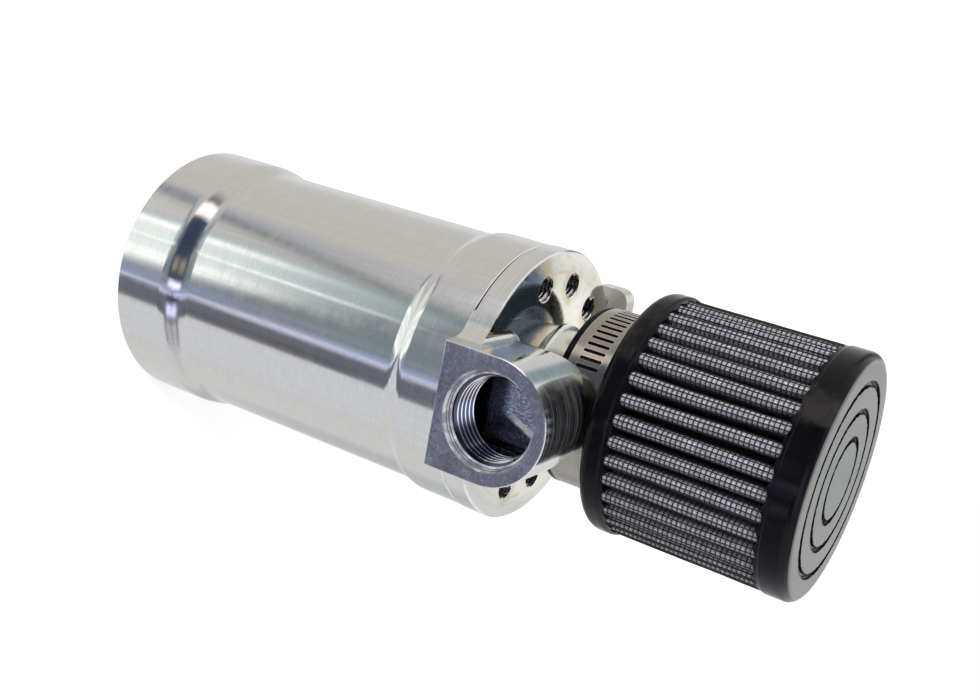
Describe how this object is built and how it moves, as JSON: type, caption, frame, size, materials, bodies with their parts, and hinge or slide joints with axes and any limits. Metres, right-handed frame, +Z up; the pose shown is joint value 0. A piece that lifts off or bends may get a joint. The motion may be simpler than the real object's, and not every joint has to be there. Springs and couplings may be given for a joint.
{
  "type": "oil catch can",
  "caption": "Round aluminium oil catch can with a screwed lid, a threaded side port, a clamped pleated breather filter on an offset neck and a rear mounting bar.",
  "frame": {"origin": "middle of the flat underside, on the can's axis", "axes": "+Z up from the can to the filter, -Y out of the side port, +Y out of the mounting bar's face"},
  "size_m": [0.089, 0.0976, 0.2411],
  "materials": {
    "turned_aluminium": "turned, satin",
    "machined_aluminium": "machined",
    "anodised_sheet": "punched sheet",
    "stainless": "brushed",
    "zinc_steel": "plated",
    "filter_rubber": "moulded",
    "seal_rubber": "smooth",
    "cotton": "pleated gauze",
    "black_wire": "coated wire mesh",
    "wire_wool": "knitted wire"
  },
  "bodies": {
    "can": {"can_body": "turned_aluminium", "drain_plug": "zinc_steel", "drain_seal": "seal_rubber"},
    "lid_ring": {"lid_seal": "seal_rubber"},
    "lid_assembly": {"lid": "machined_aluminium", "baffle_plate": "anodised_sheet", "baffle_standoffs": "machined_aluminium", "baffle_screws": "zinc_steel", "separator_mesh": "wire_wool", "mesh_retainer": "anodised_sheet", "retainer_screws": "zinc_steel", "filter_base": "filter_rubber", "filter_media": "cotton", "outer_mesh": "black_wire", "inner_mesh": "zinc_steel", "filter_cap": "filter_rubber", "clamp_band": "stainless", "clamp_housing": "stainless"},
    "clamp_screw": {"clamp_screw": "stainless"}
  },
  "joints": [
    {"name": "lid_lift", "type": "slide", "parent": "can", "child": "lid_ring", "axis": [0, 0, 1], "range_m": [0, 0.0101]},
    {"name": "lid_turn", "type": "hinge", "parent": "lid_ring", "child": "lid_assembly", "pos_m": [0, 0, 0.14375], "axis": [0, 0, 1], "range_deg": [0, 1800]},
    {"name": "clamp_screw_turn", "type": "hinge", "parent": "lid_assembly", "child": "clamp_screw", "pos_m": [0.02218, 0.03623, 0.16555], "axis": [0.766, -0.6428, 0], "range_deg": [0, 1800]}
  ],
  "couplings": [
    {"joint": "lid_lift", "follows": "lid_turn", "m_per_rad": 0.00031831}
  ]
}
